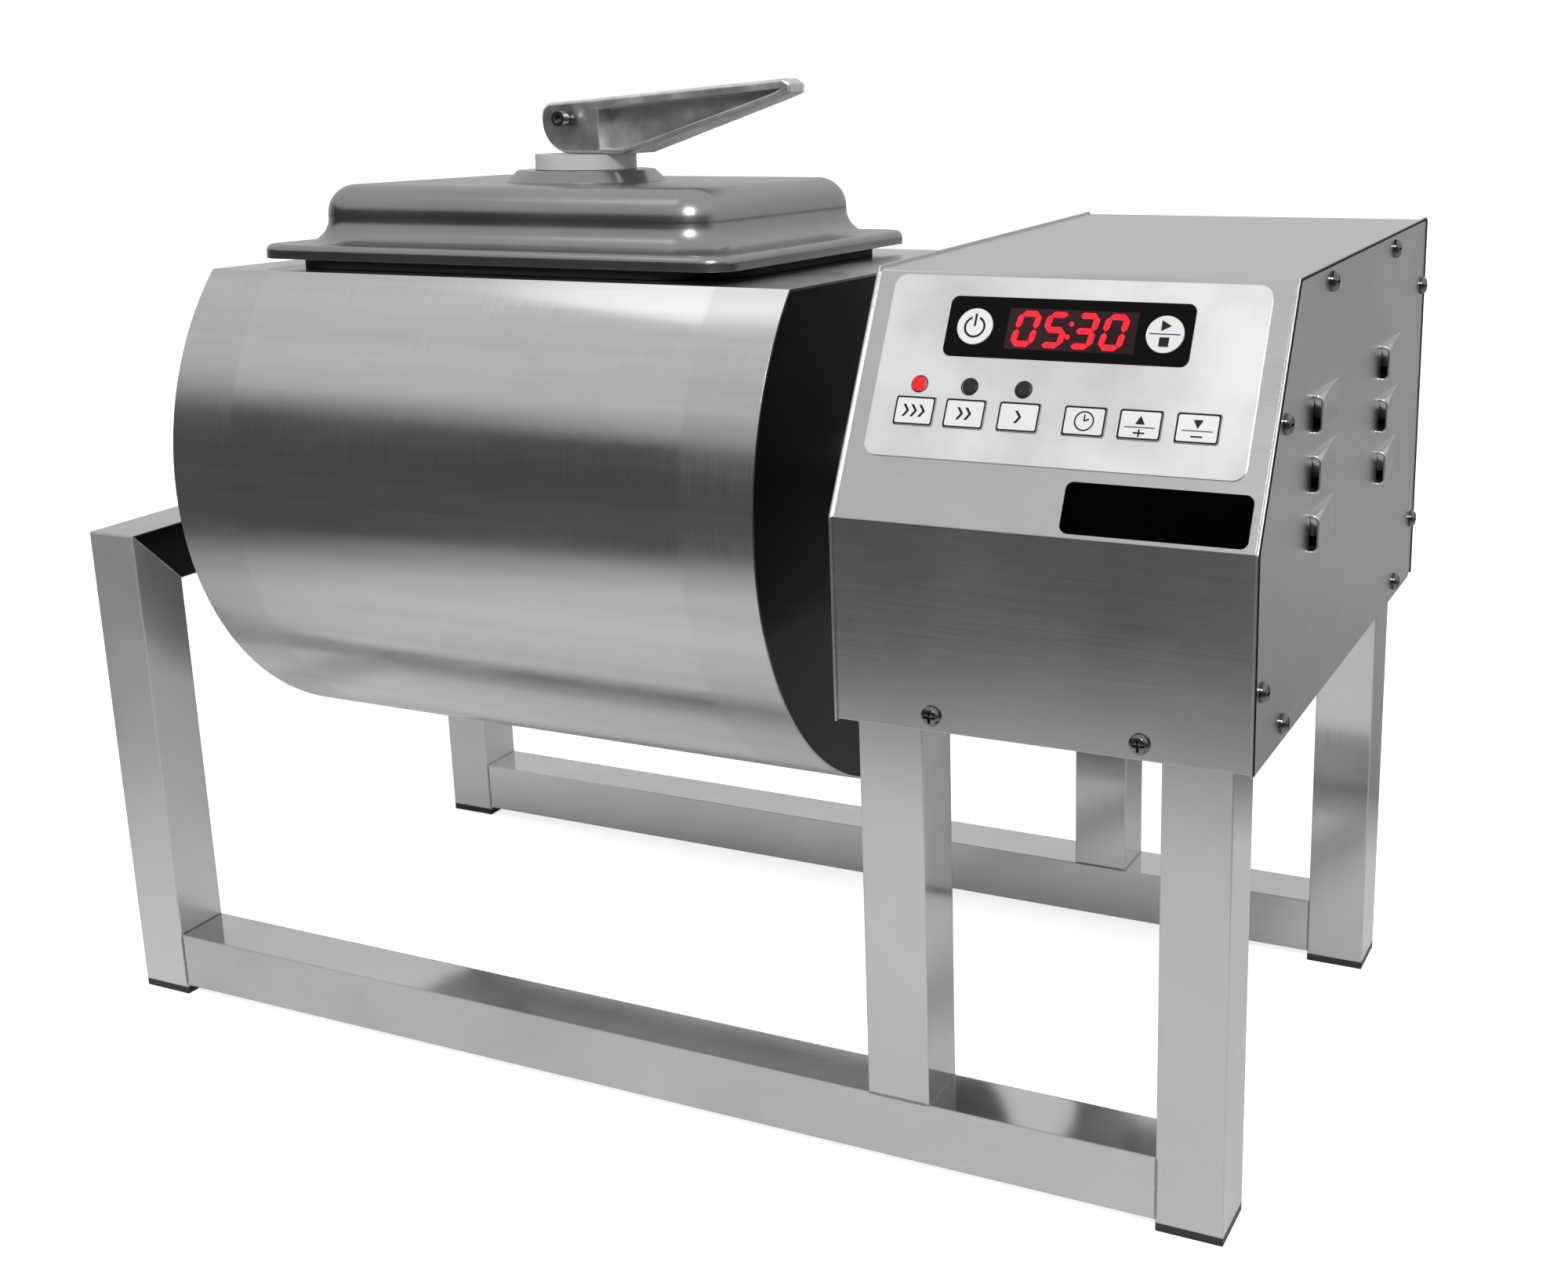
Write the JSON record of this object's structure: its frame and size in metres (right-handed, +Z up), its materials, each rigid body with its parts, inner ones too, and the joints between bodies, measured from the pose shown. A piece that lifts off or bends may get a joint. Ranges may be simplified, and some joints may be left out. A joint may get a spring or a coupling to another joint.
{
  "type": "meat marinator",
  "caption": "Tabletop drum tumbler: a lidded steel drum with a clamped hatch on a square-tube frame, turned by a drive inside a control box.",
  "frame": {"origin": "middle of the outline's underside, on the table", "axes": "+X along the drum's axis towards the control box, -Y towards the user who faces the keypad, +Z up"},
  "size_m": [0.7972, 0.4162, 0.6136],
  "materials": {
    "tube_steel": "polished stainless tube",
    "drum_steel": "brushed along the roll",
    "cap_steel": "dull brushed",
    "box_steel": "fine brushed",
    "lid_steel": "pressed and polished",
    "inner_steel": "mill finish",
    "screw_steel": "bright",
    "cast_lever": "polished edges, cast recess",
    "nylon": "smooth",
    "gasket_rubber": "matt",
    "foot_plastic": "fine grain",
    "label_silver": "satin film",
    "window_black": "gloss",
    "badge_black": "gloss",
    "digit_red": "smoked, lit from behind",
    "lamp_red": "lit lens",
    "lamp_dark": "unlit lens",
    "key_silver": "satin",
    "board_green": "satin",
    "post_nylon": "smooth",
    "bearing_iron": "painted",
    "race_steel": "ground",
    "gearbox_alloy": "die-cast",
    "motor_paint": "painted",
    "electronics_case": "satin"
  },
  "bodies": {
    "base": {"front_left_leg": "tube_steel", "back_left_leg": "tube_steel", "left_crossbar": "tube_steel", "front_middle_leg": "tube_steel", "back_middle_leg": "tube_steel", "front_right_leg": "tube_steel", "back_right_leg": "tube_steel", "middle_crossbar": "tube_steel", "right_crossbar": "tube_steel", "front_rail": "tube_steel", "back_rail": "tube_steel", "leg_feet": "foot_plastic", "shaft_seal": "foot_plastic", "box_cover": "box_steel", "box_left_plate": "box_steel", "box_right_plate": "box_steel", "box_tray": "box_steel", "side_plate_screws": "screw_steel", "cover_screws": "screw_steel", "bearing_bolts": "screw_steel", "membrane_panel": "label_silver", "display_window": "window_black", "digit_block": "digit_red", "lit_lamp": "lamp_red", "dark_lamps": "lamp_dark", "control_board": "board_green", "board_posts": "post_nylon", "badge_plate": "badge_black", "gearbox_cradle": "inner_steel", "bearing_housings": "bearing_iron", "outer_races": "race_steel", "gearbox_case": "gearbox_alloy", "motor": "motor_paint", "motor_fan_cover": "motor_paint", "power_supply": "electronics_case", "motor_driver": "electronics_case"},
    "drum": {"drum_shell": "drum_steel", "opening_collar": "drum_steel", "end_caps": "cap_steel", "mixing_baffles": "inner_steel", "left_hub_shaft": "inner_steel", "right_hub_shaft": "inner_steel", "inner_races": "race_steel", "gearbox_sleeve": "race_steel"},
    "lid": {"lid_shell": "lid_steel", "lid_gasket": "gasket_rubber", "lid_boss": "lid_steel"},
    "clamp_washer": {"nylon_washer": "nylon"},
    "spindle": {"clamp_spindle": "inner_steel", "clamp_bar": "inner_steel"},
    "lever": {"cam_lever": "cast_lever", "pivot_screw": "screw_steel"},
    "key_fast": {"fast_key": "key_silver"},
    "key_medium": {"medium_key": "key_silver"},
    "key_slow": {"slow_key": "key_silver"},
    "key_clock": {"clock_key": "key_silver"},
    "key_up": {"up_key": "key_silver"},
    "key_down": {"down_key": "key_silver"},
    "key_power": {"power_key": "key_silver"},
    "key_start": {"start_key": "key_silver"}
  },
  "joints": [
    {"name": "drum_spin", "type": "hinge", "parent": "base", "child": "drum", "pos_m": [0, 0, 0.3675], "axis": [1, 0, 0], "continuous": true},
    {"name": "lid_lift", "type": "slide", "parent": "drum", "child": "lid", "axis": [0, 0.0314, 0.9995], "range_m": [0, 0.15]},
    {"name": "clamp_turn", "type": "hinge", "parent": "lid", "child": "clamp_washer", "pos_m": [-0.1216, 0.00605, 0.5599], "axis": [0, 0.0314, 0.9995], "range_deg": [0, 90]},
    {"name": "bar_drop", "type": "slide", "parent": "clamp_washer", "child": "spindle", "axis": [0, -0.0314, -0.9995], "range_m": [0, 0.002]},
    {"name": "lever_swing", "type": "hinge", "parent": "spindle", "child": "lever", "pos_m": [-0.1216, 0.00699, 0.58989], "axis": [0, -0.9995, 0.0314], "range_deg": [0, 90]},
    {"name": "fast_press", "type": "slide", "parent": "base", "child": "key_fast", "axis": [0, 0.8763, -0.4818], "range_m": [0, 0.0006], "stiffness_N_per_m": 1500, "springref_m": -0.0005},
    {"name": "medium_press", "type": "slide", "parent": "base", "child": "key_medium", "axis": [0, 0.8763, -0.4818], "range_m": [0, 0.0006], "stiffness_N_per_m": 1500, "springref_m": -0.0005},
    {"name": "slow_press", "type": "slide", "parent": "base", "child": "key_slow", "axis": [0, 0.8763, -0.4818], "range_m": [0, 0.0006], "stiffness_N_per_m": 1500, "springref_m": -0.0005},
    {"name": "clock_press", "type": "slide", "parent": "base", "child": "key_clock", "axis": [0, 0.8763, -0.4818], "range_m": [0, 0.0006], "stiffness_N_per_m": 1500, "springref_m": -0.0005},
    {"name": "up_press", "type": "slide", "parent": "base", "child": "key_up", "axis": [0, 0.8763, -0.4818], "range_m": [0, 0.0006], "stiffness_N_per_m": 1500, "springref_m": -0.0005},
    {"name": "down_press", "type": "slide", "parent": "base", "child": "key_down", "axis": [0, 0.8763, -0.4818], "range_m": [0, 0.0006], "stiffness_N_per_m": 1500, "springref_m": -0.0005},
    {"name": "power_press", "type": "slide", "parent": "base", "child": "key_power", "axis": [0, 0.8763, -0.4818], "range_m": [0, 0.0006], "stiffness_N_per_m": 1500, "springref_m": -0.0005},
    {"name": "start_press", "type": "slide", "parent": "base", "child": "key_start", "axis": [0, 0.8763, -0.4818], "range_m": [0, 0.0006], "stiffness_N_per_m": 1500, "springref_m": -0.0005}
  ],
  "couplings": [
    {"joint": "bar_drop", "follows": "lever_swing", "m_per_rad": 0.001273}
  ]
}
